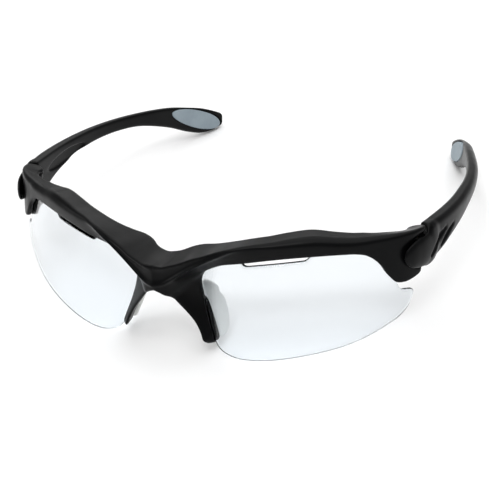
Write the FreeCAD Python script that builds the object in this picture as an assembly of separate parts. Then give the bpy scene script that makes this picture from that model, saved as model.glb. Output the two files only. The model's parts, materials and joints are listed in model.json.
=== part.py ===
"""Sports protective goggles: a half-rim nylon frame with two clear wrap lenses and folding temples.

The pieces are drawn in the worn frame: +Z up along the lenses, +Y towards the ears, +X to the
wearer's left, with the front of the lenses at x = y = 0. The last step tilts everything back
until the lenses and the temple tips stand on a table, with the origin under the middle.
"""
import FreeCAD, Part
import math
import os

from FreeCAD import Vector

# ---- driving dimensions, millimetres and degrees ---------------------------------------------
LENS_RADIUS = 104.0          # outer face of the wrap, a cylinder about the vertical axis
LENS_NOSE_RADIUS = 26.0      # tighter return of the lens towards the nose
LENS_RETURN_X = 30.0         # where the return starts
LENS_THICKNESS = 2.0
GROOVE_CLEARANCE = 0.12

HINGE_X = 70.3
HINGE_Y = 31.5
DRUM_RADIUS = 3.4
DRUM_BOTTOM = 32.9
DRUM_TOP = 41.1
SLOT_GAP = 0.35              # running gap round the drum and the temple nose
EAR_RADIUS = 3.9
ARM_CLEAR_RADIUS = 4.5
NECK_OUTER_X = 74.8           # the neck joins the drum to the temple's side
NECK_FRONT_Y = 30.5
NECK_LENGTH = 7.0

SCREW_RADIUS = 0.75
SCREW_HEAD_RADIUS = 1.5
SCREW_HEAD_HEIGHT = 1.0
SCREW_HEAD_BOTTOM = 30.6
BORE_RADIUS = 0.80
INSERT_RADIUS = 1.4
INSERT_BOTTOM = 41.7
INSERT_TOP = 43.6

PAD_THICKNESS = 2.4
PEG_RADIUS = 0.9
PEG_FRONT_Y = 6.8            # the pegs of a nose pad reach this far into the leg
PEG_BACK_Y = 9.8
PEGS = ((10.7, 18.0), (13.2, 11.4))      # x, z

REST_TILT = 13.3             # lean of the lenses when the goggles stand on a table

SECTION_POINTS = 16
SECTION_SQUARENESS = 0.55    # 1 gives an ellipse, smaller values give squarer sections

# x, front y, back y, bottom z, top z of the brow bar, from the middle outwards
BROW = (
    (0.0, -7.0, 5.0, 21.0, 33.0),
    (6.0, -6.6, 5.6, 22.6, 34.0),
    (12.0, -5.2, 6.2, 27.6, 35.8),
    (20.0, -2.8, 7.0, 31.6, 38.0),
    (30.0, 0.9, 9.2, 34.4, 40.6),
    (40.0, 5.0, 13.2, 36.2, 42.8),
    (47.0, 8.4, 17.2, 36.9, 44.0),
    (54.0, 12.4, 21.4, 37.2, 43.2),
)
# outer face x, y, heading, depth, bottom z, top z of the lug that carries the hinge
LUG = (
    (61.0, 16.6, 37.0, 8.0, 36.8, 43.2),
    (66.6, 20.6, 43.0, 7.4, 30.9, 43.8),
    (70.8, 24.4, 54.0, 7.4, 27.9, 44.5),
    (73.7, 28.6, 68.0, 8.0, 29.0, 44.9),
    (75.0, 32.6, 80.0, 9.0, 30.6, 44.9),
    (75.4, 36.6, 85.0, 9.6, 31.2, 44.9),
)
# z, then the corners inner front, lens side, back outer, back inner of a nose leg
LEG = (
    (26.0, (1.5, -3.0), (10.6, 3.2), (11.4, 7.4), (4.0, 6.6)),
    (19.0, (4.4, -2.6), (12.6, 4.2), (13.0, 8.2), (7.4, 7.4)),
    (14.5, (7.7, -1.9), (14.2, 4.8), (14.4, 8.4), (9.9, 7.8)),
    (10.0, (10.8, -1.2), (16.0, 5.2), (15.9, 8.4), (12.3, 7.8)),
    (6.4, (12.9, -0.4), (17.4, 5.0), (17.2, 8.0), (14.2, 7.2)),
    (4.6, (14.2, 1.0), (17.6, 4.8), (17.4, 7.2), (15.2, 6.4)),
)
# z, then front x, y and back x, y of the middle plane of a nose pad's wing
PAD = (
    (23.6, (8.8, 8.7), (10.6, 10.4)),
    (21.6, (9.4, 8.5), (12.6, 12.8)),
    (18.0, (10.6, 8.5), (14.2, 14.6)),
    (14.0, (12.1, 8.5), (15.3, 15.3)),
    (10.0, (13.7, 8.5), (16.4, 14.8)),
    (7.0, (15.0, 8.5), (17.1, 13.0)),
    (5.2, (15.8, 8.7), (16.8, 10.9)),
)
# lower edge of a lens, x and z, from the nose leg to the horn
LENS_LOWER_EDGE = (
    (15.5, 7.0), (18.2, 3.2), (22.6, 1.4), (28.5, 1.0), (35.5, 1.6), (42.2, 2.9), (49.0, 4.6),
    (55.3, 6.6), (60.5, 9.0), (65.3, 12.2), (69.3, 15.6), (71.4, 18.8), (72.5, 23.6),
)
# the rest of its outline in straight runs: horn, step, temple edge, top, vent notch, nose edge
LENS_UPPER_EDGE = (
    (72.4, 24.6), (69.1, 24.6), (67.7, 28.0), (67.4, 30.6), (65.4, 34.2), (62.0, 37.4),
    (54.0, 39.4), (47.6, 39.2), (46.0, 37.6), (44.0, 35.2), (26.6, 32.4), (25.1, 34.0),
    (20.0, 34.0), (14.6, 32.0), (10.3, 27.6), (10.0, 24.5),
)
# the groove runs just outside the lens and straight past the vent notch
GROOVE_OUTLINE = (
    (17.6, 1.0), (15.2, 6.6), (9.6, 24.5), (10.0, 27.9), (14.4, 32.4), (20.0, 34.4), (46.2, 39.6),
    (54.1, 39.8), (62.3, 37.7), (65.8, 34.4), (67.8, 30.7), (68.1, 28.0), (69.6, 24.0), (69.6, 1.0),
)
# y, centre x, thickness, bottom z, top z of a temple
TEMPLE = (
    (36.6, 73.3, 4.4, 31.4, 44.6),
    (42.0, 74.5, 4.6, 33.4, 45.0),
    (50.0, 75.5, 4.4, 36.4, 45.6),
    (58.0, 76.0, 4.2, 38.6, 46.2),
    (68.0, 76.1, 4.0, 41.0, 47.0),
    (80.0, 75.4, 3.8, 42.6, 47.8),
    (92.0, 73.6, 3.8, 43.4, 48.4),
    (104.0, 70.6, 3.8, 43.0, 48.7),
    (114.0, 67.8, 3.8, 41.2, 48.6),
    (123.0, 65.1, 3.8, 38.8, 48.0),
    (132.0, 61.9, 3.8, 35.6, 46.6),
    (140.0, 58.8, 3.8, 33.8, 45.0),
    (147.0, 55.8, 3.8, 34.6, 42.8),
    (151.0, 54.2, 3.4, 36.8, 40.9),
)
# y, outer x, depth, bottom z, top z of the temple nose that nests in the lug
NOSE = (
    (22.6, 72.3, 1.0, 35.4, 38.6),
    (24.2, 73.5, 2.0, 33.2, 40.4),
    (28.0, 75.1, 3.0, 31.9, 41.8),
    (33.0, 76.0, 3.8, 31.7, 42.2),
    (38.0, 76.2, 4.2, 32.2, 43.4),
)
TIP_PAD_Y = 135.5
TIP_PAD_Z = 41.2
TIP_PAD_HALF_LENGTH = 15.0
TIP_PAD_HALF_HEIGHT = 3.9
TIP_PAD_DEPTH = 0.6          # from the plane of the temple's middle to the pad's underside
TIP_PAD_PROUD = 0.45
TIP_PAD_HEADING = -23.0      # plan direction of the temple at the pad, from +Y towards -X
TIP_PAD_SLOPE = -17.0        # the pad follows the tip's fall

SIDES = {"left": 1, "right": -1}


# ---- helpers -----------------------------------------------------------------------------------
def rounded_wire(corners):
    """A closed smooth wire: a superellipse stretched between four corners."""
    points = []
    for i in range(SECTION_POINTS):
        angle = 2 * math.pi * (i + 0.5) / SECTION_POINTS
        across = math.copysign(abs(math.cos(angle)) ** SECTION_SQUARENESS, math.cos(angle))
        up = math.copysign(abs(math.sin(angle)) ** SECTION_SQUARENESS, math.sin(angle))
        u, v = (1 + across) / 2, (1 + up) / 2
        low = corners[0] * (1 - u) + corners[3] * u
        high = corners[1] * (1 - u) + corners[2] * u
        points.append(low * (1 - v) + high * v)
    curve = Part.BSplineCurve()
    curve.interpolate(points, PeriodicFlag=True)
    return Part.Wire(curve.toShape())


def loft(wires):
    solid = Part.makeLoft(wires, True, False)
    if not solid.isValid() or solid.Volume <= 0:
        solid.fix(1e-4, 1e-4, 1e-3)
    return solid


def mirrored(shape):
    return shape.mirror(Vector(0, 0, 0), Vector(1, 0, 0))


def cylinder(radius, bottom, top, x=HINGE_X, y=HINGE_Y):
    return Part.makeCylinder(radius, top - bottom, Vector(x, y, bottom), Vector(0, 0, 1))


def lens_plan(offset):
    """Plan curve of the wrap from the nose to the temple: two tangent arcs, offset inwards."""
    centre = Vector(0, LENS_RADIUS, 0)
    turn = math.asin(LENS_RETURN_X / LENS_RADIUS)
    main = LENS_RADIUS - offset
    joint = centre + Vector(math.sin(turn), -math.cos(turn), 0) * LENS_RADIUS
    nose_centre = joint + (centre - joint).normalize() * LENS_NOSE_RADIUS
    small = LENS_NOSE_RADIUS - offset

    def on(middle, radius, angle):
        return middle + Vector(math.sin(angle), -math.cos(angle), 0) * radius

    end = math.radians(50)
    nose_end = math.radians(-50)
    half = (turn + nose_end) / 2
    nose_arc = Part.Arc(on(nose_centre, small, nose_end), on(nose_centre, small, half),
                        on(nose_centre, small, turn))
    main_arc = Part.Arc(on(centre, main, turn), on(centre, main, (turn + end) / 2),
                        on(centre, main, end))
    return nose_arc.toShape(), main_arc.toShape()


def wrap_slab(outer, inner):
    """The vertical curved slab between two offsets of the lens face."""
    outer_edges = lens_plan(outer)
    inner_edges = lens_plan(inner)
    first = Part.makeLine(inner_edges[0].Vertexes[0].Point, outer_edges[0].Vertexes[0].Point)
    last = Part.makeLine(outer_edges[1].Vertexes[-1].Point, inner_edges[1].Vertexes[-1].Point)
    edges = [first, *outer_edges, last, inner_edges[1], inner_edges[0]]
    face = Part.Face(Part.Wire(Part.__sortEdges__(edges)))
    solid = face.extrude(Vector(0, 0, 60))
    solid.translate(Vector(0, 0, -5))
    return solid


def front_view(points):
    return [Vector(x, -20, z) for x, z in points]


def lens():
    lower = Part.BSplineCurve()
    lower.interpolate(front_view(LENS_LOWER_EDGE))
    upper = front_view(LENS_LOWER_EDGE[-1:] + LENS_UPPER_EDGE + LENS_LOWER_EDGE[:1])
    edges = [lower.toShape()] + [Part.makeLine(a, b) for a, b in zip(upper, upper[1:])]
    outline = Part.Face(Part.Wire(Part.__sortEdges__(edges)))
    return outline.extrude(Vector(0, 80, 0)).common(wrap_slab(0, LENS_THICKNESS))


def lens_groove():
    points = front_view(GROOVE_OUTLINE)
    outline = Part.Face(Part.makePolygon(points + points[:1]))
    slab = wrap_slab(-GROOVE_CLEARANCE, LENS_THICKNESS + GROOVE_CLEARANCE)
    return outline.extrude(Vector(0, 80, 0)).common(slab)


# ---- front frame -------------------------------------------------------------------------------
def brow_section(x, front, back, bottom, top):
    return rounded_wire([Vector(x, front, bottom), Vector(x, front, top), Vector(x, back, top),
                         Vector(x, back, bottom)])


def lug_section(x, y, heading, depth, bottom, top):
    turn = math.radians(heading)
    inward = Vector(-math.sin(turn), math.cos(turn), 0) * depth
    outer = Vector(x, y, 0)
    low, high = Vector(0, 0, bottom), Vector(0, 0, top)
    return rounded_wire([outer + low, outer + high, outer + inward + high, outer + inward + low])


def leg_section(z, *corners):
    return rounded_wire([Vector(x, y, z) for x, y in corners])


def nose_leg():
    return loft([leg_section(*row) for row in LEG])


def hinge_pocket():
    """Everything the turning temple needs: drum slot, nose recess and the open back."""
    slot = cylinder(DRUM_RADIUS + SLOT_GAP, DRUM_BOTTOM - SLOT_GAP, DRUM_TOP + SLOT_GAP)
    height = DRUM_TOP - DRUM_BOTTOM + 2 * SLOT_GAP
    behind = Part.makeBox(30, 20, height, Vector(HINGE_X - 20, HINGE_Y, DRUM_BOTTOM - SLOT_GAP))
    recess = loft([nose_section(y - 0.5, x + 3.4, depth + 3.4 + SLOT_GAP, low - SLOT_GAP,
                                high + SLOT_GAP) for y, x, depth, low, high in NOSE])
    return slot.fuse([behind, recess])


def lug_end_cut():
    """Trims the lug's back to round ears about the hinge axis."""
    block = Part.makeBox(40, 30, 60, Vector(HINGE_X - 22, HINGE_Y - 0.4, 0))
    return block.cut(cylinder(EAR_RADIUS, 0, 60))


def side_cuts():
    """Everything that is taken out of one side of the moulding."""
    shank = cylinder(SCREW_RADIUS, SCREW_HEAD_BOTTOM, INSERT_TOP)
    head = cylinder(SCREW_HEAD_RADIUS, 20, SCREW_HEAD_BOTTOM + SCREW_HEAD_HEIGHT)
    insert = cylinder(INSERT_RADIUS, INSERT_BOTTOM, INSERT_TOP)
    return [lug_end_cut(), hinge_pocket(), shank, head, insert, lens_groove(), *pegs()]


def frame_front():
    bar = loft([brow_section(*row) for row in BROW] + [lug_section(*row) for row in LUG])
    half = bar.fuse(nose_leg())
    for tool in side_cuts():
        half = half.cut(tool)
    return half.fuse(mirrored(half))


# ---- nose pads ---------------------------------------------------------------------------------
def pad_section(z, front, back):
    middle = [Vector(*front, z), Vector(*back, z)]
    along = (middle[1] - middle[0]).normalize()
    side = Vector(along.y, -along.x, 0) * (PAD_THICKNESS / 2)
    return rounded_wire([middle[0] + side, middle[0] - side, middle[1] - side, middle[1] + side])


def pegs():
    length = PEG_BACK_Y - PEG_FRONT_Y
    return [Part.makeCylinder(PEG_RADIUS, length, Vector(x, PEG_FRONT_Y, z), Vector(0, 1, 0))
            for x, z in PEGS]


def nose_pad():
    """A soft wing behind a nose leg, held by two pegs."""
    return loft([pad_section(*row) for row in PAD]).fuse(pegs())


# ---- temples -----------------------------------------------------------------------------------
def temple_section(y, x, thickness, bottom, top):
    half = thickness / 2
    corners = [Vector(x - half, y, bottom), Vector(x - half, y, top), Vector(x + half, y, top),
               Vector(x + half, y, bottom)]
    return rounded_wire(corners)


def nose_section(y, x, depth, bottom, top):
    return temple_section(y, x - depth / 2, depth, bottom, top)


def tip_pad_plug(lift):
    """Oval prism through the inner face of a temple tip, from just under the face outwards."""
    centre = Vector(0, TIP_PAD_Y, TIP_PAD_Z)
    rows = sorted(TEMPLE, key=lambda row: abs(row[0] - TIP_PAD_Y))
    centre.x = rows[0][1] + (TIP_PAD_Y - rows[0][0]) * math.tan(math.radians(TIP_PAD_HEADING))
    oval = Part.Ellipse(Vector(0, 0, 0), TIP_PAD_HALF_LENGTH, TIP_PAD_HALF_HEIGHT)
    prism = Part.Face(Part.Wire(oval.toShape())).extrude(Vector(0, 0, 6))
    prism.translate(Vector(0, 0, lift))
    basis = FreeCAD.Matrix(0, 0, -1, 0, 1, 0, 0, 0, 0, 1, 0, 0, 0, 0, 0, 1)
    prism = prism.transformGeometry(basis)
    prism.rotate(Vector(0, 0, 0), Vector(1, 0, 0), TIP_PAD_SLOPE)
    prism.rotate(Vector(0, 0, 0), Vector(0, 0, 1), -TIP_PAD_HEADING)
    prism.translate(centre)
    return prism


def temple_body():
    nose = loft([nose_section(*row) for row in NOSE])
    arm = loft([temple_section(*row) for row in TEMPLE]).fuse(nose)
    arm = arm.cut(cylinder(ARM_CLEAR_RADIUS, 0, 60))
    drum = cylinder(DRUM_RADIUS, DRUM_BOTTOM, DRUM_TOP)
    neck = Part.makeBox(NECK_OUTER_X - HINGE_X, NECK_LENGTH, DRUM_TOP - DRUM_BOTTOM,
                        Vector(HINGE_X, NECK_FRONT_Y, DRUM_BOTTOM))
    body = arm.fuse([drum, neck])
    return body.cut(cylinder(BORE_RADIUS, 0, 60))


def temple_and_pad():
    body = temple_body()
    plug = tip_pad_plug(TIP_PAD_DEPTH)
    proud = body.copy()
    turn = math.radians(-TIP_PAD_HEADING)
    proud.translate(Vector(-math.cos(turn), -math.sin(turn), 0) * TIP_PAD_PROUD)
    pad = plug.common(proud)
    return body.cut(plug), pad


# ---- hinge hardware ----------------------------------------------------------------------------
def hinge_screw():
    head = cylinder(SCREW_HEAD_RADIUS - 0.05, SCREW_HEAD_BOTTOM,
                    SCREW_HEAD_BOTTOM + SCREW_HEAD_HEIGHT)
    shank = cylinder(SCREW_RADIUS, SCREW_HEAD_BOTTOM + SCREW_HEAD_HEIGHT / 2, INSERT_TOP)
    slot = Part.makeBox(2 * SCREW_HEAD_RADIUS, 0.45, 0.5,
                        Vector(HINGE_X - SCREW_HEAD_RADIUS, HINGE_Y - 0.225, SCREW_HEAD_BOTTOM))
    return head.fuse(shank).cut(slot)


def hinge_insert():
    ring = cylinder(INSERT_RADIUS, INSERT_BOTTOM, INSERT_TOP)
    return ring.cut(cylinder(SCREW_RADIUS, 0, 60))


# ---- put together ------------------------------------------------------------------------------
def all_parts():
    temple, tip_pad = temple_and_pad()
    one_side = {
        "lens": lens(),
        "nose_pad": nose_pad(),
        "temple": temple,
        "temple_tip_pad": tip_pad,
        "hinge_screw": hinge_screw(),
        "hinge_insert": hinge_insert(),
    }
    parts = {"frame_front": frame_front()}
    for side, sign in SIDES.items():
        for name, shape in one_side.items():
            parts[f"{name}_{side}"] = shape if sign > 0 else mirrored(shape)
    return parts


def stand_on_table(parts):
    """Tilts the pieces to their resting pose and puts the origin under the middle of the box."""
    placed = {name: shape.copy() for name, shape in parts.items()}
    for shape in placed.values():
        shape.rotate(Vector(0, 0, 0), Vector(1, 0, 0), -REST_TILT)
    box = Part.makeCompound(list(placed.values())).optimalBoundingBox(False)
    shift = Vector(0, -(box.YMin + box.YMax) / 2, -box.ZMin)
    for shape in placed.values():
        shape.translate(shift)
    print("worn frame to table frame shift", tuple(round(value, 3) for value in shift))
    return placed


def main():
    os.makedirs("parts", exist_ok=True)
    parts = stand_on_table(all_parts())
    for name, shape in parts.items():
        solids = shape.Solids
        print(name, len(solids), "solid", "valid" if shape.isValid() else "broken", round(shape.Volume, 1))
        shape = solids[0] if len(solids) == 1 else Part.makeCompound(solids)
        shape.exportStep(f"parts/{name}.step")


main()
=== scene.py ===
"""Looks for the sports protective goggles: satin black nylon, clear wrap lenses, soft pads.

Shapes are drawn in millimetres in the worn frame: +Z up along the lenses, +Y towards the ears,
+X to the wearer's left. Each moulded piece is a distance field, negative inside, that is turned
into a mesh and then carried over to the table frame, in metres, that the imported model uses.
"""
import json
import math

import bpy
import numpy as np
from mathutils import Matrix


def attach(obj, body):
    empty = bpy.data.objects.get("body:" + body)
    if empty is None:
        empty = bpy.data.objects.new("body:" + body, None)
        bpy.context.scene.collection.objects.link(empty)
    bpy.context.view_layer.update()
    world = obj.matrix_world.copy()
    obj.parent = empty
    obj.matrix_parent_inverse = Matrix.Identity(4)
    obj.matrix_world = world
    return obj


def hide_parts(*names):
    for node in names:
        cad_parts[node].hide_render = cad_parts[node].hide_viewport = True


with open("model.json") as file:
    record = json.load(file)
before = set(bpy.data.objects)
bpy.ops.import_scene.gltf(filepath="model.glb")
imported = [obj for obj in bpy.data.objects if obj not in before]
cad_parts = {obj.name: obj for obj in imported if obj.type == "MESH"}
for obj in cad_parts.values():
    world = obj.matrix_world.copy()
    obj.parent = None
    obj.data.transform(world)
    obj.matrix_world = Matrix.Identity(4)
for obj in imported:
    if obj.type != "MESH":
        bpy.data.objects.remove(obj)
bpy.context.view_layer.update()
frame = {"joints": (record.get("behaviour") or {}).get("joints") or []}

import openvdb
from mathutils import Matrix, Vector

# ---- where the worn frame lies in the table frame ---------------------------------------------
REST_TILT = math.radians(13.3)
HINGE = np.array([70.3, 31.5, 37.0])   # a point on the left hinge axis

# ---- shape tables, millimetres ------------------------------------------------------------------
# x, y of the front guide curve, depth behind it, bottom, back top and front top heights, rounding
# of the top front edge
BAR = (
    (0.0, -4.2, 9.4, 22.2, 33.0, 31.6, 0.5),
    (3.0, -4.1, 9.8, 21.6, 33.3, 31.8, 0.5),
    (6.0, -3.9, 10.6, 22.6, 34.0, 32.6, 0.5),
    (9.2, -3.5, 12.0, 24.9, 35.0, 33.7, 0.5),
    (12.0, -3.1, 12.2, 27.0, 35.8, 34.9, 0.5),
    (16.0, -2.5, 11.0, 29.8, 36.8, 36.3, 0.5),
    (20.0, -1.8, 9.8, 31.9, 37.9, 37.9, 0.6),
    (25.0, -0.6, 9.0, 33.2, 39.2, 39.5, 0.9),
    (30.0, 0.9, 8.6, 34.4, 40.5, 40.5, 1.5),
    (35.0, 2.7, 8.6, 35.4, 41.5, 41.3, 2.0),
    (40.0, 4.8, 8.6, 36.2, 42.7, 42.2, 2.4),
    (47.0, 8.2, 8.6, 37.0, 43.8, 43.0, 2.7),
    (54.0, 12.2, 8.4, 37.5, 43.0, 42.7, 2.7),
    (58.5, 15.0, 7.6, 37.6, 42.8, 42.7, 2.4),
    (61.0, 16.6, 7.2, 37.1, 42.9, 43.0, 2.2),
    (63.7, 18.6, 6.4, 35.0, 42.9, 43.4, 2.0),
    (66.6, 20.6, 6.2, 30.8, 43.0, 43.8, 1.7),
    (69.0, 22.6, 6.2, 28.1, 42.9, 44.2, 1.5),
    (70.8, 24.4, 6.4, 27.8, 42.7, 44.5, 1.4),
    (73.7, 28.6, 7.0, 29.0, 42.5, 44.9, 1.3),
    (75.0, 32.6, 8.2, 30.4, 42.4, 44.9, 1.3),
    (75.4, 36.6, 9.0, 31.0, 42.4, 44.9, 1.3),
)
# x, height of the lower crease, how far the crease, the top edge and the lower lip stand in
# front of the guide curve, hollow of the panel above the crease, softness of the crease, ridge
FACE = (
    (0.0, 24.9, 0.9, 2.9, 0.5, 0.9, 0.12, 0.55),
    (3.0, 25.6, 0.9, 2.8, -0.3, 0.9, 0.12, 0.55),
    (6.0, 27.5, 0.9, 2.3, -3.2, 0.85, 0.12, 0.55),
    (9.2, 29.9, 1.0, 1.9, -6.4, 0.7, 0.12, 0.50),
    (12.0, 31.8, 0.9, 1.4, -6.6, 0.6, 0.12, 0.50),
    (16.0, 34.2, 0.6, 0.9, -5.2, 0.45, 0.12, 0.48),
    (20.0, 36.4, 0.4, 0.5, -3.9, 0.30, 0.14, 0.44),
    (25.0, 38.8, 0.1, 0.1, -2.9, 0.0, 0.3, 0.30),
    (28.0, 39.2, -0.1, -0.1, -2.3, 0.0, 0.9, 0.0),
    (34.0, 39.4, -0.1, -0.1, -1.8, 0.0, 1.8, 0.0),
    (40.0, 40.0, 0.0, -0.2, -1.5, 0.0, 2.4, 0.0),
    (54.0, 41.0, 0.0, -0.2, -1.0, 0.0, 3.0, 0.0),
    (61.0, 41.0, 0.0, -0.1, -0.6, 0.0, 3.0, 0.0),
    (66.6, 40.0, 0.0, 0.0, -0.1, 0.0, 3.0, 0.0),
    (75.4, 38.0, 0.0, 0.0, -0.1, 0.0, 3.0, 0.0),
)
# z, then the corners inner front, lens side, back outer, back inner of a nose leg
LEG = (
    (30.0, (-1.0, -4.4), (10.8, 2.8), (11.0, 6.8), (1.0, 5.6)),
    (26.0, (0.0, -4.6), (10.9, 3.2), (11.8, 7.8), (2.0, 6.2)),
    (22.5, (1.2, -4.3), (11.4, 3.7), (12.4, 8.1), (4.4, 6.9)),
    (19.0, (3.6, -3.6), (12.4, 4.3), (13.2, 8.3), (6.8, 7.4)),
    (14.5, (7.0, -2.6), (14.1, 4.7), (14.6, 8.5), (9.6, 7.8)),
    (10.0, (10.3, -1.7), (16.0, 4.7), (16.0, 8.5), (12.1, 7.8)),
    (6.4, (12.4, -0.9), (17.4, 4.5), (17.2, 8.2), (14.0, 7.2)),
    (4.0, (13.6, -0.5), (18.2, 4.4), (18.0, 8.0), (15.2, 7.0)),
)
LEG_BOTTOM = 4.5
LEG_TOP = 29.0
LEG_BLEND = 3.8              # hollow fillet between bar and leg
# x, z of the arch over the nose, at its front; further back it widens
ARCH = (
    (0.0, 22.6), (2.0, 22.0), (3.9, 20.2), (5.8, 17.7), (8.2, 14.4), (10.6, 10.6), (12.2, 6.6),
    (12.8, 2.0),
)
ARCH_SPLAY = 0.24

LENS_RADIUS = 104.0
LENS_NOSE_RADIUS = 26.0
LENS_RETURN_X = 30.0
LENS_THICKNESS = 2.0
LENS_EDGE_ROUND = 0.7
LENS_LOWER_EDGE = (
    (15.5, 7.0), (18.2, 3.2), (22.6, 1.4), (28.5, 1.0), (35.5, 1.6), (42.2, 2.9), (49.0, 4.6),
    (55.3, 6.6), (60.5, 9.0), (65.3, 12.2), (69.3, 15.6), (71.4, 18.8), (72.5, 23.6),
)
LENS_UPPER_EDGE = (
    (72.4, 24.6), (69.1, 24.6), (67.7, 28.0), (67.4, 30.6), (65.4, 34.2), (62.0, 37.4),
    (54.0, 39.4), (47.6, 39.2), (46.0, 37.6), (44.0, 35.2), (26.6, 32.4), (25.1, 34.0),
    (20.0, 34.0), (14.6, 32.0), (10.3, 27.6), (10.0, 24.5),
)
GROOVE_OUTLINE = (
    (17.6, 1.0), (15.2, 6.6), (9.6, 24.5), (10.0, 27.9), (14.4, 32.4), (20.0, 34.4), (46.2, 39.6),
    (54.1, 39.8), (62.3, 37.7), (65.8, 34.4), (67.8, 30.7), (68.1, 28.0), (69.6, 24.0), (69.6, 1.0),
)
GROOVE_CLEARANCE = 0.12

# y, centre x, thickness, bottom z, top z of a temple
TEMPLE = (
    (32.0, 72.6, 4.4, 30.6, 44.4),
    (36.6, 73.5, 4.6, 31.6, 44.6),
    (42.0, 74.6, 5.0, 33.2, 45.0),
    (50.0, 75.8, 5.0, 36.0, 45.6),
    (58.0, 76.5, 4.8, 38.2, 46.2),
    (68.0, 76.6, 4.6, 40.6, 47.0),
    (80.0, 75.9, 4.2, 42.3, 47.8),
    (92.0, 73.9, 4.0, 43.2, 48.4),
    (104.0, 70.8, 3.8, 43.0, 48.7),
    (114.0, 67.8, 3.8, 41.2, 48.6),
    (123.0, 65.1, 3.8, 38.8, 48.0),
    (132.0, 61.9, 3.8, 35.6, 46.6),
    (140.0, 58.8, 3.8, 33.9, 45.0),
    (147.0, 55.8, 3.8, 34.8, 42.6),
    (152.0, 53.8, 3.4, 36.6, 40.6),
)
TEMPLE_END = 151.0
# y, outer x, depth, bottom z, top z of the bulging temple nose that nests in the lug
NOSE = (
    (22.6, 71.0, 1.0, 35.0, 38.6),
    (24.4, 72.6, 1.9, 33.2, 40.2),
    (28.0, 74.6, 3.0, 32.0, 41.6),
    (33.0, 76.2, 4.0, 31.5, 42.6),
    (38.0, 76.9, 4.4, 32.2, 43.4),
    (44.0, 77.2, 4.4, 34.2, 44.0),
)
# flute: y, z of its lower end, of its middle and of its upper end
FLUTES = (
    ((33.5, 35.0), (36.5, 38.4), (43.4, 40.8)),
    ((41.6, 35.6), (44.2, 38.2), (49.4, 40.4)),
)
FLUTE_HALF_WIDTH = 1.0
FLUTE_DEPTH = 0.7

SLOT_GAP = 0.35
DRUM_RADIUS = 3.0
DRUM_BOTTOM = 32.9
DRUM_TOP = 41.1
EAR_RADIUS = 3.4
ARM_CLEAR_RADIUS = 3.7
NECK_MIDDLE = (72.55, 34.0)  # plan centre and half size of the block from drum to temple
NECK_HALF = (2.25, 3.5)
SCREW_HEAD_RADIUS = 1.5
SCREW_HEAD_TOP = 31.6
BORE_RADIUS = 0.8
INSERT_RADIUS = 1.4
INSERT_BOTTOM = 41.7
INSERT_TOP = 42.4

HOLLOW_MIDDLE = (57.0, 40.9)  # y, z of the long hollow on a temple's inner face
HOLLOW_HALF = (13.5, 2.3)
HOLLOW_RISE = 0.12
HOLLOW_DEPTH = 1.3

TIP_PAD_Y = 135.5
TIP_PAD_Z = 41.2
TIP_PAD_HALF_LENGTH = 15.0
TIP_PAD_HALF_HEIGHT = 3.9
TIP_PAD_SLOPE = math.radians(-17.0)
TIP_PAD_FLOOR = 1.3          # depth of the pad's pocket under the temple's inner face
TIP_PAD_PROUD = 0.4

# z, then front x, y and back x, y of the middle of a nose pad's wing
PAD = (
    (23.6, (8.8, 8.7), (10.6, 10.4)),
    (21.6, (9.4, 8.5), (12.6, 12.8)),
    (18.0, (10.6, 8.5), (14.2, 14.6)),
    (14.0, (12.1, 8.5), (15.3, 15.3)),
    (10.0, (13.7, 8.5), (16.4, 14.8)),
    (7.0, (15.0, 8.5), (17.1, 13.0)),
    (5.2, (15.8, 8.7), (16.8, 10.9)),
)
PAD_THICKNESS = 2.4
PEG_RADIUS = 0.85
PEGS = ((10.7, 18.0), (13.6, 11.4))      # x, z

FAR = 3.0                    # distances beyond this are cut off before meshing


# ---- number work ---------------------------------------------------------------------------------
def smooth_rows(rows, at):
    """Smooth curves through the columns of a table, each against its first column."""
    table = np.array(rows, float)
    key = table[:, 0]
    steps = np.diff(key)[:, None]
    slopes = np.diff(table, axis=0) / steps
    inner = (slopes[:-1] * steps[1:] + slopes[1:] * steps[:-1]) / (steps[:-1] + steps[1:])
    tangents = np.vstack([slopes[:1], inner, slopes[-1:]])
    at = np.clip(at, key[0], key[-1])
    i = np.clip(np.searchsorted(key, at, side="right") - 1, 0, len(key) - 2)
    width = (key[i + 1] - key[i])[..., None]
    t = (at - key[i])[..., None] / width
    value = table[i] * (2 * t ** 3 - 3 * t ** 2 + 1) + table[i + 1] * (3 * t ** 2 - 2 * t ** 3)
    value = value + width * tangents[i] * (t ** 3 - 2 * t ** 2 + t)
    value = value + width * tangents[i + 1] * (t ** 3 - t ** 2)
    return np.moveaxis(value, -1, 0)


def by_length(rows):
    """The same table with the length along its x, y guide curve as a new first column."""
    table = np.array(rows, float)
    gaps = np.hypot(np.diff(table[:, 0]), np.diff(table[:, 1]))
    length = np.concatenate([[0.0], np.cumsum(gaps)])
    return np.column_stack([length, table])


def cut(a, b, radius):
    """Intersection of two fields with an edge rounded to the radius."""
    return np.hypot(np.maximum(a + radius, 0), np.maximum(b + radius, 0)) + np.minimum(
        -radius, np.maximum(a, b))


def join(a, b, radius):
    """Union of two fields with a hollow fillet of the radius."""
    return -cut(-a, -b, radius)


def soft_min(a, b, softness):
    h = np.maximum(softness - np.abs(a - b), 0) / softness
    return np.minimum(a, b) - h * h * softness / 4


def soft_max(a, b, softness):
    return -soft_min(-a, -b, softness)


def axis(low, high, step):
    return np.arange(math.floor(low / step), math.ceil(high / step) + 1) * step


def open_grid(*axes):
    return np.meshgrid(*[a.astype(np.float32) for a in axes], indexing="ij", sparse=True)


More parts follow.
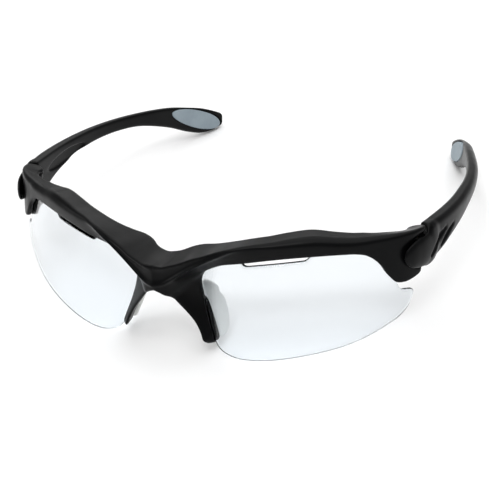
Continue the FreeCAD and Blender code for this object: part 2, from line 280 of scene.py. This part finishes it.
def polygon_distance(points, x, z):
    """Signed distance in the x, z plane, negative inside the closed polygon."""
    points = np.array(points, float)
    best = np.full(np.broadcast(x, z).shape, np.inf)
    inside = np.zeros(best.shape, bool)
    for (ax, az), (bx, bz) in zip(points, np.roll(points, -1, axis=0)):
        ex, ez = bx - ax, bz - az
        t = np.clip(((x - ax) * ex + (z - az) * ez) / (ex * ex + ez * ez), 0, 1)
        best = np.minimum(best, np.hypot(x - ax - t * ex, z - az - t * ez))
        crosses = (az > z) != (bz > z)
        if ez != 0:
            inside ^= crosses & (x < ax + (z - az) * ex / ez)
    return np.where(inside, -best, best)


def blur(field, passes):
    """Softens the corners of a plane field."""
    for _ in range(passes):
        for direction in (0, 1):
            before = np.roll(field, 1, axis=direction)
            after = np.roll(field, -1, axis=direction)
            field = (before + 2 * field + after) / 4
    return field


# ---- meshes ----------------------------------------------------------------------------------------
def worn_to_table(points):
    x, y, z = points.T
    c, s = math.cos(REST_TILT), math.sin(REST_TILT)
    return np.column_stack([x, y * c + z * s, z * c - y * s])


hinge_joint = next(joint for joint in frame["joints"] if joint["name"] == "temple_left_fold")
SHIFT = np.array(hinge_joint["pos_m"]) * 1000 - worn_to_table(HINGE[None])[0]


def object_from(name, points, faces, material, place=None):
    """A mesh object from points in the worn frame; place maps them there from a flat domain."""
    if place is not None:
        points = place(points)
    points = (worn_to_table(points) + SHIFT) / 1000
    corners = points[faces]
    volume = np.einsum("ij,ij->", corners[:, 0], np.cross(corners[:, 1], corners[:, 2]))
    if faces.shape[1] == 4:
        volume += np.einsum("ij,ij->", corners[:, 0], np.cross(corners[:, 2], corners[:, 3]))
    if volume < 0:
        faces = faces[:, ::-1]
    count, sides = faces.shape
    mesh = bpy.data.meshes.new(name)
    mesh.vertices.add(len(points))
    mesh.vertices.foreach_set("co", points.astype(np.float32).ravel())
    mesh.loops.add(count * sides)
    mesh.loops.foreach_set("vertex_index", faces.astype(np.int32).ravel())
    mesh.polygons.add(count)
    mesh.polygons.foreach_set("loop_start", np.arange(0, count * sides, sides, dtype=np.int32))
    mesh.update(calc_edges=True)
    mesh.validate()
    mesh.shade_smooth()
    mesh.materials.append(material)
    piece = bpy.data.objects.new(name, mesh)
    bpy.context.scene.collection.objects.link(piece)
    return piece


def soften(field, passes):
    """Evens out a field over one or two grid steps, so that tight edges mesh cleanly."""
    for _ in range(passes):
        for direction in range(3):
            last = field.shape[direction] - 1
            index = np.arange(last + 1)
            before = np.take(field, np.maximum(index - 1, 0), axis=direction)
            after = np.take(field, np.minimum(index + 1, last), axis=direction)
            field = (before + 2 * field + after) / 4
    return field


def skin(field, axes):
    """Points and quads of the zero surface of a field."""
    grid = openvdb.FloatGrid(FAR)
    grid.copyFromArray(np.ascontiguousarray(np.clip(field, -FAR, FAR), dtype=np.float32))
    points, quads = grid.convertToQuads(0.0)
    starts = np.array([a[0] for a in axes])
    steps = np.array([a[1] - a[0] for a in axes])
    return points.astype(float) * steps + starts, quads.astype(np.int64)


def other_side(points):
    return points * np.array([-1.0, 1.0, 1.0])


def pair(name, body, node, points, faces, material, slot, place=None):
    """The wearer's left piece and its mirror image, each riding on its own body."""
    if place is not None:
        points = place(points)
    for side in ("left", "right"):
        shown = points if side == "left" else other_side(points)
        piece = object_from(f"{name}_{side}", shown, faces, material)
        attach(piece, body.format(side=side))
        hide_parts(f"{node}_{side}")


# ---- the wrap of the lenses ------------------------------------------------------------------------
TURN = math.asin(LENS_RETURN_X / LENS_RADIUS)
RETURN_POINT = np.array([LENS_RETURN_X, LENS_RADIUS - LENS_RADIUS * math.cos(TURN)])
NOSE_CENTRE = RETURN_POINT + LENS_NOSE_RADIUS * np.array([-math.sin(TURN), math.cos(TURN)])


def behind_lens_face(x, y):
    """Distance behind the outer lens face in plan."""
    main = LENS_RADIUS - np.hypot(x, y - LENS_RADIUS)
    nose = LENS_NOSE_RADIUS - np.hypot(x - NOSE_CENTRE[0], y - NOSE_CENTRE[1])
    side = (x - NOSE_CENTRE[0]) * math.cos(TURN) + (y - NOSE_CENTRE[1]) * math.sin(TURN)
    return np.where(side < 0, nose, main)


def on_lens(points):
    """Maps x, depth behind the face, z onto the wrap."""
    x, depth, z = points.T
    on_main = x > LENS_RETURN_X
    centre_x = np.where(on_main, 0.0, NOSE_CENTRE[0])
    centre_y = np.where(on_main, LENS_RADIUS, NOSE_CENTRE[1])
    radius = np.where(on_main, LENS_RADIUS, LENS_NOSE_RADIUS)
    angle = np.arcsin((x - centre_x) / radius)
    reach = radius - depth
    return np.column_stack([centre_x + reach * np.sin(angle), centre_y - reach * np.cos(angle), z])


def lens_outline():
    """Closed outline with its lower edge smoothed."""
    lower = by_length(LENS_LOWER_EDGE)
    run = smooth_rows(lower, np.linspace(0, lower[-1, 0], 90))
    return list(zip(run[1], run[2])) + list(LENS_UPPER_EDGE)


def lens_mesh():
    x = axis(8, 75, 0.25)
    depth = axis(-0.5, LENS_THICKNESS + 0.5, 0.125)
    z = axis(-1, 41.5, 0.25)
    outline = polygon_distance(lens_outline(), x[:, None], z[None, :])
    outline = blur(outline, 6)[:, None, :]
    slab = np.abs(depth - LENS_THICKNESS / 2)[None, :, None] - LENS_THICKNESS / 2
    return skin(cut(outline, slab + 0 * outline, LENS_EDGE_ROUND), (x, depth, z))


# ---- front frame -----------------------------------------------------------------------------------
def bar_coordinates(x, y):
    """For each plan point, the length along the guide curve and the distance in front of it."""
    rows = [(-row[0],) + row[1:] for row in BAR[2:0:-1]] + list(BAR)
    table = by_length(rows)
    zero = table[2, 0]
    dense = np.arange(table[0, 0], table[-1, 0], 0.1)
    run = smooth_rows(table, dense)
    px, py = run[1], run[2]
    tx, ty = np.gradient(px), np.gradient(py)
    norm = np.hypot(tx, ty)
    nx, ny = ty / norm, -tx / norm
    nearest = np.empty((len(x), len(y)), int)
    for i, value in enumerate(x):
        gap = (value - px) ** 2 + (y[:, None] - py) ** 2
        nearest[i] = np.argmin(gap, axis=1)
    front = (x[:, None] - px[nearest]) * nx[nearest] + (y[None, :] - py[nearest]) * ny[nearest]
    return px[nearest], dense[nearest] - zero, front, run[3:, nearest]


def nose_egg(x, y, z, spread, open_outwards):
    """The bulge at the front of a temple; spread makes it larger, for its recess."""
    row = smooth_rows(NOSE, y.ravel())
    _, outer, depth, low, high = [value[None, :, None] for value in row]
    across = x - (outer - depth / 2)
    if open_outwards:
        across = np.minimum(across, 0)
    half = depth / 2 + spread
    tall = (high - low) / 2 + spread
    up = z - (high + low) / 2
    ellipse = np.sqrt((across / half) ** 2 + (up / tall) ** 2 + 1e-6)
    field = (ellipse - 1) * np.minimum(half, tall) * 0.9
    start = NOSE[0][0] - spread
    return cut(field, start - y + 0 * field, 0.6)


def leg_field(x, y, z):
    """Nose leg: a rounded four-sided section that changes with height."""
    table = np.array([[row[0], *row[1], *row[2], *row[3], *row[4]] for row in LEG[::-1]])
    row = smooth_rows(table, z.ravel())[1:, None, None, :]
    corners = [(row[2 * i], row[2 * i + 1]) for i in range(4)]
    field = None
    for i in range(4):
        (ax, ay), (bx, by) = corners[i], corners[(i + 1) % 4]
        ex, ey = bx - ax, by - ay
        length = np.hypot(ex, ey)
        face = ((x - ax) * ey - (y - ay) * ex) / length
        rounding = 0.8 if i in (1, 2) else 1.0
        field = face if field is None else cut(field, face, rounding)
    field = cut(field, LEG_BOTTOM - z + 0 * field, 2.2)
    return cut(field, z - LEG_TOP + 0 * field, 1.0)


def arch_outline():
    """Closed outline of the arch, the same on both sides of the middle."""
    table = by_length(ARCH)
    run = smooth_rows(table, np.linspace(0, table[-1, 0], 40))
    right = list(zip(run[1], run[2]))
    return right + [(-px, pz) for px, pz in right[:0:-1]]


def frame_field(x, y, z):
    px, _, front, columns = bar_coordinates(x.ravel(), y.ravel())
    depth, bottom, top_back, top_front, top_round = [c[:, :, None] for c in columns]
    front = front[:, :, None]
    _, crease, at_crease, at_top, at_lip, hollow, softness, ridge = [
        c[:, :, None] for c in smooth_rows(FACE, np.abs(px))]

    share = np.clip(-front / depth, -0.3, 1.2)
    top = z - (top_front + (top_back - top_front) * share)
    up = (z - crease) / np.maximum(top_front - crease, 0.8)
    dish = 4 * np.clip(up, 0, 1) * (1 - np.clip(up, 0, 1))
    panel = at_crease + (at_top - at_crease) * up - hollow * dish
    down = (z - bottom) / np.maximum(crease - bottom, 1.5)
    lower = at_lip + (at_crease - at_lip) * down
    face = soft_min(panel, lower, softness)
    face = face + ridge * np.exp(-((z - crease) / 0.6) ** 2)
    field = front - face
    field = field / np.sqrt(1 + ((at_crease - at_lip) / np.maximum(crease - bottom, 3)) ** 2)
    field = cut(field, top, top_round)
    field = cut(field, -front - depth, 1.1)
    field = cut(field, bottom - z + 0 * field, 0.45)
    field = soft_min(field, leg_field(x, y, z), LEG_BLEND)
    arch = polygon_distance(arch_outline(), x - ARCH_SPLAY * (y + 3.0), z)
    field = cut(field, -arch, 1.3)

    # ears, hinge slot, recess for the temple nose, lens groove and bores
    radius = np.hypot(x - HINGE[0], y - HINGE[1]) + 0 * z
    field = cut(field, np.minimum(y - (HINGE[1] - 0.4), radius - EAR_RADIUS), 0.3)
    slot = np.maximum(DRUM_BOTTOM - SLOT_GAP - z, z - DRUM_TOP - SLOT_GAP)
    drum = np.minimum(radius - DRUM_RADIUS - SLOT_GAP, HINGE[1] - y)
    drum = np.maximum(drum, HINGE[0] - 20 - x)
    field = cut(field, -np.maximum(drum, slot), 0.15)
    field = cut(field, -nose_egg(x, y, z, 0.75, True), 0.5)
    outline = blur(polygon_distance(GROOVE_OUTLINE, x[:, 0], z[0]), 2)[:, None, :]
    behind = behind_lens_face(x, y)
    slab = np.abs(behind - LENS_THICKNESS / 2) - LENS_THICKNESS / 2 - GROOVE_CLEARANCE
    field = np.maximum(field, -np.maximum(outline, slab))
    bores = np.maximum(radius - SCREW_HEAD_RADIUS - 0.05, z - SCREW_HEAD_TOP)
    bores = np.minimum(bores, np.maximum(radius - INSERT_RADIUS, INSERT_BOTTOM - z))
    bores = np.minimum(bores, radius - BORE_RADIUS)
    return cut(field, -np.maximum(bores, z - INSERT_TOP), 0.12)


def frame_mesh():
    step = 0.25
    x = axis(0, 77.5, step)
    y = axis(-9, 38, step)
    z = axis(5, 46.5, step)
    half = frame_field(*open_grid(x, y, z))
    half = np.clip(half, -FAR, FAR).astype(np.float32)
    whole = soften(np.concatenate([half[:0:-1], half]), 2)
    return skin(whole, (np.concatenate([-x[:0:-1], x]), y, z))


# ---- temples ---------------------------------------------------------------------------------------
def temple_rows(y):
    """Centre x, half thickness, bottom, top, plan slope and side slope at each y."""
    _, middle, thickness, low, high = smooth_rows(TEMPLE, y)
    lean = np.gradient(middle, y)
    rise = np.gradient((low + high) / 2, y)
    return middle, thickness / 2, low, high, lean, rise


def tip_pad_plane(y, z):
    """Elliptic measure of the oval tip pad from its along and across coordinates, 1 at its edge."""
    c, s = math.cos(TIP_PAD_SLOPE), math.sin(TIP_PAD_SLOPE)
    dy = (y - TIP_PAD_Y) / math.cos(math.radians(23))
    dz = z - TIP_PAD_Z
    along = dy * c + dz * s
    across = dz * c - dy * s
    height = TIP_PAD_HALF_HEIGHT * (1 + 0.16 * along / TIP_PAD_HALF_LENGTH)
    return np.sqrt((along / TIP_PAD_HALF_LENGTH) ** 2 + (across / height) ** 2 + 1e-6)


def temple_field(x, y, z):
    middle, half, low, high, lean, rise = [v[None, :, None] for v in temple_rows(y.ravel())]
    across = (x - middle) / np.sqrt(1 + lean ** 2)
    up = (z - (low + high) / 2) / np.sqrt(1 + rise ** 2)
    tall = (high - low) / 2 / np.sqrt(1 + rise ** 2)
    level = np.clip(up / tall, -1.1, 1.1)
    outer = across - half + 0.5 * level ** 2
    inner = -across - half + 0.1 * level ** 2
    field = cut(outer, np.abs(up) - tall, 1.7)
    field = cut(field, inner, 1.2)
    field = cut(field, y - TEMPLE_END + 0 * field, 2.4)

    # the front end fades into the bulging nose; two flutes run up behind it
    field = cut(field, 33.0 - y + 0 * field, 2.0)
    radius = np.hypot(x - HINGE[0], y - HINGE[1]) + 0 * z
    nose = nose_egg(x, y, z, 0.0, False)
    nose = nose + np.clip((y - 36.0) / 3.0, 0, 1.5) ** 2
    field = soft_min(field, nose, 1.6)
    for start, middle_y, end in FLUTES:
        field = soft_max(field, -flute(x, y, z, start, middle_y, end), 0.9)
    field = cut(field, ARM_CLEAR_RADIUS - radius, 0.3)
    drum = cut(radius - DRUM_RADIUS, np.maximum(DRUM_BOTTOM - z, z - DRUM_TOP), 0.25)
    neck = np.maximum(np.abs(x - NECK_MIDDLE[0]) - NECK_HALF[0],
                      np.abs(y - NECK_MIDDLE[1]) - NECK_HALF[1])
    neck = cut(neck + 0 * z, np.maximum(DRUM_BOTTOM - z, z - DRUM_TOP), 0.25)
    field = np.minimum(field, join(drum, neck, 0.3))
    field = join(field, drum, 0.2)

    # long hollow on the inside behind the hinge, pocket of the tip pad, screw bore
    along = y - HOLLOW_MIDDLE[0]
    lift = z - HOLLOW_MIDDLE[1] - HOLLOW_RISE * along
    hollow = np.sqrt((along / HOLLOW_HALF[0]) ** 2 + (lift / HOLLOW_HALF[1]) ** 2)
    hollow = soft_max((hollow - 1) * 2.0, across + half - HOLLOW_DEPTH, 0.6)
    field = soft_max(field, -hollow, 0.5)
    pocket = np.maximum((tip_pad_plane(y, z) - 1) * 3.7 - 0.05, across + half - TIP_PAD_FLOOR)
    field = cut(field, -pocket, 0.2)
    return cut(field, BORE_RADIUS - radius, 0.1)


def flute(x, y, z, start, middle, end):
    """A shallow groove along a bent line on the outer face."""
    t = np.linspace(0, 1, 25)[:, None]
    line = (1 - t) ** 2 * start + 2 * t * (1 - t) * np.array(middle) + t ** 2 * end
    best = np.full(np.broadcast(y, z).shape, np.inf, np.float32)
    for i, (ly, lz) in enumerate(line):
        narrow = FLUTE_HALF_WIDTH * math.sin(math.pi * min(max(t[i, 0], 0.08), 0.92)) ** 0.5
        best = np.minimum(best, np.hypot(y - ly, z - lz) - narrow)
    outer_x = smooth_rows(TEMPLE, y.ravel())[1][None, :, None] + 2.2
    floor = outer_x - FLUTE_DEPTH - x
    return soft_max(best, floor, 1.2)


def temple_mesh():
    step = 0.25
    x = axis(50, 80.5, step)
    y = axis(20.5, 153.5, step)
    z = axis(29, 50.5, step)
    field = np.clip(temple_field(*open_grid(x, y, z)), -FAR, FAR)
    return skin(soften(field, 2), (x, y, z))


def tip_pad_mesh():
    y = axis(118, 153, 0.25)
    lift = axis(-1.0, TIP_PAD_FLOOR + TIP_PAD_PROUD + 0.6, 0.1)
    z = axis(32, 50, 0.25)
    oval = (tip_pad_plane(y[:, None], z[None, :]) - 1) * 3.7 + 0.05
    oval = oval[:, None, :]
    slab = np.maximum(-lift, lift - TIP_PAD_FLOOR - TIP_PAD_PROUD)[None, :, None]
    return skin(cut(oval, slab + 0 * oval, 0.35), (y, lift, z))


def on_temple_inside(points):
    """Maps y, height above the pocket floor, z onto the temple's inner face."""
    y, lift, z = points.T
    dense = np.linspace(112, 156, 400)
    middle, half, _, _, lean, _ = temple_rows(dense)
    middle, half, lean = [np.interp(y, dense, column) for column in (middle, half, lean)]
    reach = half - TIP_PAD_FLOOR + lift
    norm = np.sqrt(1 + lean ** 2)
    return np.column_stack([middle - reach / norm, y + reach * lean / norm, z])


# ---- nose pads -------------------------------------------------------------------------------------
def nose_pad_mesh():
    x = axis(5, 20, 0.2)
    y = axis(5, 18, 0.2)
    z = axis(3, 26, 0.2)
    gx, gy, gz = open_grid(x, y, z)
    table = np.array([[row[0], *row[1], *row[2]] for row in PAD[::-1]])
    _, ax, ay, bx, by = [v[None, None, :] for v in smooth_rows(table, z)]
    ex, ey = bx - ax, by - ay
    length = np.hypot(ex, ey)
    along = ((gx - ax) * ex + (gy - ay) * ey) / length
    side = ((gx - ax) * ey - (gy - ay) * ex) / length
    domed = PAD_THICKNESS / 2 * (0.95 - 0.35 * (2 * along / length - 1) ** 2)
    dent = 0.7 * np.exp(-((gz - 18.6) / 1.4) ** 2)
    edge = np.maximum(-along, along - length + dent)
    cap = np.maximum(gz - 23.6, 5.2 - gz)
    field = cut(cut(np.abs(side) - domed, edge, 0.8), cap + 0 * edge, 1.0)
    for px, pz in PEGS:
        peg = np.hypot(gx - px, gz - pz) - PEG_RADIUS
        field = join(field, cut(peg + 0 * gy, np.abs(gy - 8.3) - 1.3, 0.15), 0.3)
    return skin(field, (x, y, z))


# ---- hinge hardware --------------------------------------------------------------------------------
def lathe(profile, sides=48):
    """Points and quads of a closed ring turned from an r, z profile about the hinge axis."""
    profile = np.array(profile)
    angles = np.linspace(0, 2 * math.pi, sides, endpoint=False)
    points = [[HINGE[0] + r * math.cos(a), HINGE[1] + r * math.sin(a), z]
              for a in angles for r, z in profile]
    count = len(profile)
    faces = []
    for i in range(sides):
        for j in range(count):
            after, above = (i + 1) % sides, (j + 1) % count
            faces.append([i * count + j, after * count + j, after * count + above,
                          i * count + above])
    return np.array(points), np.array(faces)


def screw_mesh():
    axis_gap = 0.02
    profile = [(axis_gap, 30.95), (0.55, 30.95), (0.6, 30.6), (1.3, 30.6), (1.43, 30.75),
               (1.45, 31.55), (0.75, 31.6), (0.75, INSERT_TOP - 0.1), (0.65, INSERT_TOP),
               (axis_gap, INSERT_TOP)]
    return lathe(profile)


def insert_mesh():
    profile = [(0.78, INSERT_BOTTOM), (1.3, INSERT_BOTTOM), (1.38, INSERT_BOTTOM + 0.1)]
    low = INSERT_BOTTOM + 0.2
    profile += [(1.38, low), (1.28, low + 0.1), (1.28, low + 0.2), (1.38, low + 0.3)]
    profile += [(1.38, INSERT_TOP - 0.1), (1.3, INSERT_TOP), (0.78, INSERT_TOP)]
    return lathe(profile)


# ---- materials -------------------------------------------------------------------------------------
def material(name, **sockets):
    made = bpy.data.materials.new(name)
    made.use_nodes = True
    shader = made.node_tree.nodes["Principled BSDF"]
    for socket, value in sockets.items():
        shader.inputs[socket.replace("_", " ")].default_value = value
    return made, shader


def noise(tree, scale, detail):
    place = tree.nodes.new("ShaderNodeTexCoord")
    texture = tree.nodes.new("ShaderNodeTexNoise")
    texture.inputs["Scale"].default_value = scale
    texture.inputs["Detail"].default_value = detail
    tree.links.new(place.outputs["Object"], texture.inputs["Vector"])
    return texture.outputs["Fac"]


def vary(tree, source, target, low, high):
    spread = tree.nodes.new("ShaderNodeMapRange")
    spread.inputs["From Min"].default_value = 0.3
    spread.inputs["From Max"].default_value = 0.7
    spread.inputs["To Min"].default_value = low
    spread.inputs["To Max"].default_value = high
    tree.links.new(source, spread.inputs["Value"])
    tree.links.new(spread.outputs["Result"], target)


def tint(tree, source, shader, dark, light):
    ramp = tree.nodes.new("ShaderNodeValToRGB")
    ramp.color_ramp.elements[0].position = 0.3
    ramp.color_ramp.elements[1].position = 0.7
    ramp.color_ramp.elements[0].color = (*dark, 1)
    ramp.color_ramp.elements[1].color = (*light, 1)
    tree.links.new(source, ramp.inputs["Fac"])
    tree.links.new(ramp.outputs["Color"], shader.inputs["Base Color"])


def bump(tree, source, shader, strength, distance):
    lift = tree.nodes.new("ShaderNodeBump")
    lift.inputs["Strength"].default_value = strength
    lift.inputs["Distance"].default_value = distance
    tree.links.new(source, lift.inputs["Height"])
    tree.links.new(lift.outputs["Normal"], shader.inputs["Normal"])


def nylon():
    made, shader = material("satin_nylon", IOR=1.5, Specular_IOR_Level=0.10)
    tree = made.node_tree
    tint(tree, noise(tree, 90, 3), shader, (0.0014, 0.0015, 0.0017), (0.0026, 0.0028, 0.0031))
    vary(tree, noise(tree, 260, 4), shader.inputs["Roughness"], 0.29, 0.36)
    bump(tree, noise(tree, 3800, 2), shader, 0.10, 0.00004)
    return made


def clear_lens():
    made, shader = material("clear_polycarbonate", IOR=1.58, Transmission_Weight=1.0)
    tree = made.node_tree
    tint(tree, noise(tree, 14, 1), shader, (0.805, 0.838, 0.862), (0.825, 0.855, 0.878))
    vary(tree, noise(tree, 500, 3), shader.inputs["Roughness"], 0.0, 0.012)
    through = tree.nodes.new("ShaderNodeBsdfTransparent")
    through.inputs["Color"].default_value = (0.93, 0.945, 0.96, 1)
    path = tree.nodes.new("ShaderNodeLightPath")
    mix = tree.nodes.new("ShaderNodeMixShader")
    output = tree.nodes["Material Output"]
    tree.links.new(path.outputs["Is Shadow Ray"], mix.inputs[0])
    tree.links.new(shader.outputs[0], mix.inputs[1])
    tree.links.new(through.outputs[0], mix.inputs[2])
    tree.links.new(mix.outputs[0], output.inputs["Surface"])
    return made


def silicone():
    made, shader = material("clear_silicone", IOR=1.41, Transmission_Weight=0.15)
    tree = made.node_tree
    tint(tree, noise(tree, 220, 2), shader, (0.90, 0.91, 0.89), (0.95, 0.96, 0.94))
    vary(tree, noise(tree, 700, 3), shader.inputs["Roughness"], 0.28, 0.40)
    bump(tree, noise(tree, 900, 2), shader, 0.15, 0.00010)
    return made


def rubber():
    made, shader = material("grey_rubber", IOR=1.5)
    tree = made.node_tree
    tint(tree, noise(tree, 160, 3), shader, (0.235, 0.290, 0.330), (0.275, 0.335, 0.375))
    vary(tree, noise(tree, 600, 3), shader.inputs["Roughness"], 0.50, 0.62)
    bump(tree, noise(tree, 4200, 2), shader, 0.25, 0.00006)
    return made


def metal(name, dark, light, low, high):
    made, shader = material(name, Metallic=1.0)
    tree = made.node_tree
    tint(tree, noise(tree, 800, 3), shader, dark, light)
    vary(tree, noise(tree, 2600, 4), shader.inputs["Roughness"], low, high)
    bump(tree, noise(tree, 5200, 2), shader, 0.08, 0.00003)
    return made


NYLON = nylon()
LENS = clear_lens()
SILICONE = silicone()
RUBBER = rubber()
STEEL = metal("screw_steel", (0.42, 0.43, 0.45), (0.56, 0.57, 0.59), 0.24, 0.36)
BRASS = metal("insert_brass", (0.62, 0.46, 0.20), (0.74, 0.56, 0.27), 0.26, 0.38)


# ---- put the pieces in the scene -------------------------------------------------------------------
def build():
    front = object_from("frame", *frame_mesh(), NYLON)
    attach(front, "front")
    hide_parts("frame_front")
    pair("lens", "front", "lens", *lens_mesh(), LENS, "lens_clear", on_lens)
    pair("nose_wing", "front", "nose_pad", *nose_pad_mesh(), SILICONE, "nose_silicone")
    pair("arm", "temple_{side}", "temple", *temple_mesh(), NYLON, "temple_nylon")
    pair("tip_grip", "temple_{side}", "temple_tip_pad", *tip_pad_mesh(), RUBBER, "tip_rubber",
         on_temple_inside)
    pair("screw", "front", "hinge_screw", *screw_mesh(), STEEL, "screw_steel")
    pair("insert", "front", "hinge_insert", *insert_mesh(), BRASS, "insert_brass")


build()


# ---- floor, light and camera -----------------------------------------------------------------------
def floor():
    mesh = bpy.data.meshes.new("floor")
    reach = 3.0
    corners = [(-reach, -reach, 0), (reach, -reach, 0), (reach, reach, 0), (-reach, reach, 0)]
    mesh.from_pydata(corners, [], [(0, 1, 2, 3)])
    paint, shader = material("floor_white", Roughness=0.9)
    shader.inputs["Base Color"].default_value = (0.97, 0.97, 0.97, 1)
    shader.inputs["Specular IOR Level"].default_value = 0.0
    mesh.materials.append(paint)
    plane = bpy.data.objects.new("floor", mesh)
    bpy.context.scene.collection.objects.link(plane)


def softbox(name, place, aim, size, power):
    lamp = bpy.data.lights.new(name, "AREA")
    lamp.shape = "RECTANGLE"
    lamp.size, lamp.size_y = size
    lamp.energy = power
    holder = bpy.data.objects.new(name, lamp)
    holder.location = place
    holder.rotation_euler = (Vector(place) - Vector(aim)).to_track_quat("Z", "Y").to_euler()
    bpy.context.scene.collection.objects.link(holder)


def lights():
    world = bpy.data.worlds.new("studio")
    world.use_nodes = True
    background = world.node_tree.nodes["Background"]
    background.inputs["Color"].default_value = (1, 1, 1, 1)
    background.inputs["Strength"].default_value = 0.33
    bpy.context.scene.world = world
    bpy.context.scene.view_settings.view_transform = "Standard"
    softbox("top_light", (0.1, 0.05, 0.8), (0, 0, 0), (1.2, 0.9), 6.0)
    softbox("back_light", (-0.35, 0.75, 0.50), (0, 0, 0.02), (0.9, 0.4), 1.8)
    softbox("left_light", (-0.7, -0.35, 0.45), (0, -0.02, 0.02), (0.4, 0.4), 1.6)
    softbox("edge_light", (0.15, -0.5, 0.75), (0, -0.02, 0.02), (0.3, 0.15), 1.2)


def camera():
    """Three-quarter view from the front, a little from the wearer's left, slightly rolled."""
    around, above, roll = math.radians(27.73), math.radians(32.45), math.radians(-5.67)
    distance = 0.3133
    target = Vector((0.01806, SHIFT[1] / 1000 + 0.0288, SHIFT[2] / 1000 + 0.02625))
    back = Vector((math.sin(around) * math.cos(above), -math.cos(around) * math.cos(above),
                   math.sin(above)))
    level = Vector((math.cos(around), math.sin(around), 0))
    upright = back.cross(level)
    right = math.cos(roll) * level + math.sin(roll) * upright
    up = math.cos(roll) * upright - math.sin(roll) * level
    lens = bpy.data.cameras.new("camera")
    lens.sensor_width = 36.0
    lens.lens = 72.1
    lens.clip_start = 0.01
    view = bpy.data.objects.new("camera", lens)
    view.matrix_world = Matrix.Translation(target + back * distance) @ Matrix(
        (right, up, back)).transposed().to_4x4()
    bpy.context.scene.collection.objects.link(view)
    bpy.context.scene.camera = view


floor()
lights()
camera()

bpy.context.view_layer.update()
